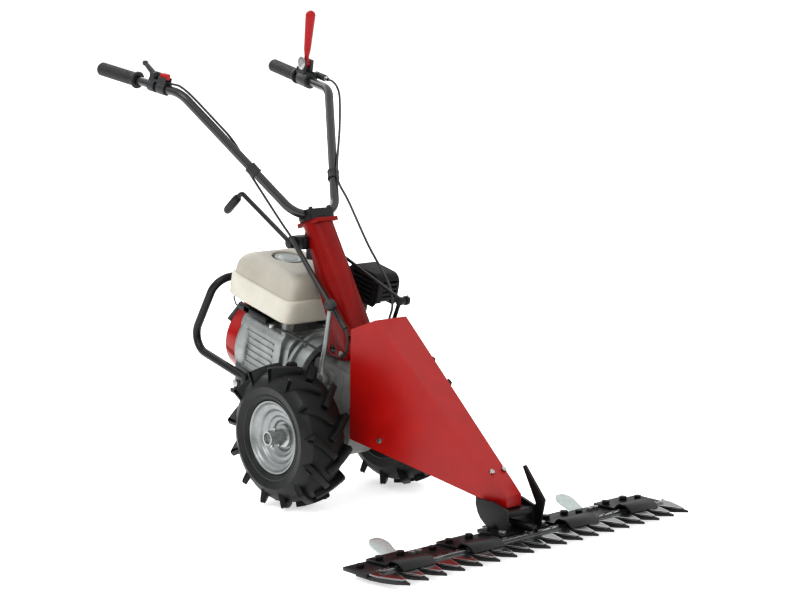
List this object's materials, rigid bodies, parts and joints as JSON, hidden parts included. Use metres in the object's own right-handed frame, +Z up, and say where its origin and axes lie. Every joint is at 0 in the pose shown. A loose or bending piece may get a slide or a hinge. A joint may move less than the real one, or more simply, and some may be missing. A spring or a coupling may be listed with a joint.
{
  "type": "sickle bar mower",
  "caption": "Walk-behind sickle bar mower: rear engine, gearbox on lugged wheels, swivelling handlebar, and a wide front bar whose reciprocating knife slides over pointed guard fingers.",
  "frame": {"origin": "on the ground under the middle of the whole machine's box", "axes": "+Z up; -Y is the direction of travel, towards the cutter bar; -X is the operator's right"},
  "size_m": [0.9144, 1.3399, 1.1654],
  "materials": {
    "red_paint": "gloss",
    "black_paint": "satin",
    "finger_steel": "satin",
    "rim_paint": "satin",
    "tyre_rubber": "matte",
    "grip_rubber": "matte",
    "black_plastic": "matte",
    "red_plastic": "gloss",
    "tank_plastic": "satin",
    "cast_aluminium": "cast",
    "machined_steel": "machined",
    "galvanised": "galvanised",
    "flywheel_iron": "machined",
    "bronze": "machined"
  },
  "bodies": {
    "chassis": {"gearbox_housing": "cast_aluminium", "bell_housing": "cast_aluminium", "axle_bearings": "machined_steel", "drive_tube": "machined_steel", "crankcase": "cast_aluminium", "crankcase_cover": "cast_aluminium", "cylinder_block": "cast_aluminium", "rocker_cover": "cast_aluminium", "fan_cover": "red_paint", "recoil_cover": "red_paint", "fuel_tank": "tank_plastic", "muffler": "machined_steel", "muffler_guard": "black_paint", "air_cleaner": "black_plastic", "carburettor": "cast_aluminium", "spark_plug": "black_plastic", "oil_plugs": "machined_steel", "rear_guard": "black_paint", "column": "red_paint", "lever_bracket": "black_paint", "hood": "red_paint", "screws": "machined_steel", "throttle_cable": "grip_rubber", "clutch_cable": "grip_rubber", "drive_head": "black_paint", "cutter_bar": "black_paint", "guard_fingers": "finger_steel", "hold_down_clips": "black_paint", "skid_shoes": "galvanised", "horn": "black_paint"},
    "wheels": {"axle_shaft": "machined_steel", "worm_wheel": "bronze", "hubs": "machined_steel", "rim_left": "rim_paint", "rim_right": "rim_paint", "tyre_left": "tyre_rubber", "tyre_right": "tyre_rubber"},
    "worm": {"worm": "machined_steel"},
    "input": {"input_shaft": "machined_steel"},
    "output": {"output_shaft": "machined_steel"},
    "crank": {"crankshaft": "machined_steel", "flywheel": "flywheel_iron"},
    "recoil_grip": {"recoil_grip": "black_plastic"},
    "fuel_cap": {"fuel_cap": "cast_aluminium"},
    "throttle_arm": {"throttle_arm": "machined_steel"},
    "handlebar": {"swivel_plate": "black_paint", "handlebar": "black_paint", "grips": "grip_rubber", "throttle_mount": "black_plastic", "clutch_mount": "black_plastic"},
    "throttle_lever": {"throttle_lever": "black_plastic"},
    "stop_switch": {"stop_switch": "red_plastic"},
    "clutch_lever": {"clutch_lever": "red_plastic"},
    "clutch_latch": {"clutch_latch": "red_plastic"},
    "gear_lever": {"gear_lever": "machined_steel"},
    "blade_lever": {"blade_lever": "black_paint"},
    "blade_rod": {"blade_rod": "black_paint"},
    "blade_arm": {"blade_arm": "machined_steel"},
    "knife": {"knife": "machined_steel"},
    "rocker": {"rocker": "machined_steel"}
  },
  "joints": [
    {"name": "axle_spin", "type": "hinge", "parent": "chassis", "child": "wheels", "pos_m": [0, 0.056, 0.172], "axis": [1, 0, 0], "continuous": true},
    {"name": "worm_spin", "type": "hinge", "parent": "chassis", "child": "worm", "pos_m": [0, 0.03229, 0.26709], "axis": [0, 0.9703, 0.2419], "continuous": true},
    {"name": "output_spin", "type": "hinge", "parent": "chassis", "child": "output", "pos_m": [0, -0.25009, 0.15958], "axis": [0, 0.9703, 0.2419], "continuous": true},
    {"name": "input_spin", "type": "hinge", "parent": "chassis", "child": "input", "pos_m": [0, 0.03229, 0.26709], "axis": [0, 0.9703, 0.2419], "continuous": true},
    {"name": "crank_spin", "type": "hinge", "parent": "chassis", "child": "crank", "pos_m": [0, 0.27487, 0.32757], "axis": [0, 0.9703, 0.2419], "continuous": true},
    {"name": "knife_stroke", "type": "slide", "parent": "chassis", "child": "knife", "axis": [1, 0, 0], "range_m": [-0.0254, 0.0254]},
    {"name": "rocker_swing", "type": "hinge", "parent": "chassis", "child": "rocker", "pos_m": [0, -0.4998, 0.06], "axis": [0, 0, 1], "range_deg": [-18.6, 18.6]},
    {"name": "handlebar_swivel", "type": "hinge", "parent": "chassis", "child": "handlebar", "pos_m": [0, 0.156, 0.661], "axis": [0, 0.2924, 0.9563], "range_deg": [-20, 20], "deforming": ["throttle_cable", "clutch_cable"]},
    {"name": "throttle_turn", "type": "hinge", "parent": "handlebar", "child": "throttle_lever", "pos_m": [-0.24409, 0.47578, 1.00804], "axis": [-0.9893, -0.1459, 0], "range_deg": [-25, 25]},
    {"name": "throttle_arm_turn", "type": "hinge", "parent": "chassis", "child": "throttle_arm", "pos_m": [-0.062, 0.20967, 0.40304], "axis": [0, -0.2419, 0.9703], "range_deg": [-26, 26]},
    {"name": "stop_press", "type": "slide", "parent": "handlebar", "child": "stop_switch", "axis": [-0.028, 0.19, -0.9814], "range_m": [0, 0.003], "stiffness_N_per_m": 400, "springref_m": -0.002},
    {"name": "clutch_squeeze", "type": "hinge", "parent": "handlebar", "child": "clutch_lever", "pos_m": [0.24734, 0.49779, 1.02972], "axis": [-0.9893, 0.1459, 0], "range_deg": [0, 80], "stiffness_Nm_per_rad": 0.5, "springref_deg": -34.38},
    {"name": "latch_press", "type": "hinge", "parent": "handlebar", "child": "clutch_latch", "pos_m": [0.25031, 0.51791, 1.01434], "axis": [0.9893, -0.1459, 0], "range_deg": [0, 12], "stiffness_Nm_per_rad": 0.05, "springref_deg": -17.19},
    {"name": "gear_shift", "type": "hinge", "parent": "chassis", "child": "gear_lever", "pos_m": [-0.075, 0.05123, 0.29448], "axis": [1, 0, 0], "range_deg": [-12, 12]},
    {"name": "blade_engage", "type": "hinge", "parent": "chassis", "child": "blade_lever", "pos_m": [0, 0.186, 0.607], "axis": [1, 0, 0], "range_deg": [-12, 12]},
    {"name": "blade_rod_slide", "type": "slide", "parent": "chassis", "child": "blade_rod", "axis": [0, 0.9622, 0.2725], "range_m": [-0.009, 0.009]},
    {"name": "blade_arm_turn", "type": "hinge", "parent": "chassis", "child": "blade_arm", "pos_m": [0.038, -0.02879, 0.33019], "axis": [1, 0, 0], "range_deg": [-3.2, 3.2]},
    {"name": "cap_turn", "type": "hinge", "parent": "chassis", "child": "fuel_cap", "pos_m": [-0.008, 0.26021, 0.55168], "axis": [0, -0.2419, 0.9703], "range_deg": [0, 90]},
    {"name": "starter_pull", "type": "slide", "parent": "chassis", "child": "recoil_grip", "axis": [-0.7286, 0.1519, 0.6679], "range_m": [0, 0.35], "stiffness_N_per_m": 20, "springref_m": -0.1}
  ],
  "couplings": [
    {"joint": "worm_spin", "follows": "axle_spin", "ratio": 36},
    {"joint": "input_spin", "follows": "output_spin", "ratio": -1},
    {"joint": "rocker_swing", "follows": "knife_stroke", "rad_per_m": 12.469},
    {"joint": "throttle_arm_turn", "follows": "throttle_turn", "ratio": 1},
    {"joint": "blade_rod_slide", "follows": "blade_engage", "m_per_rad": 0.03698},
    {"joint": "blade_arm_turn", "follows": "blade_engage", "ratio": -0.21646}
  ]
}
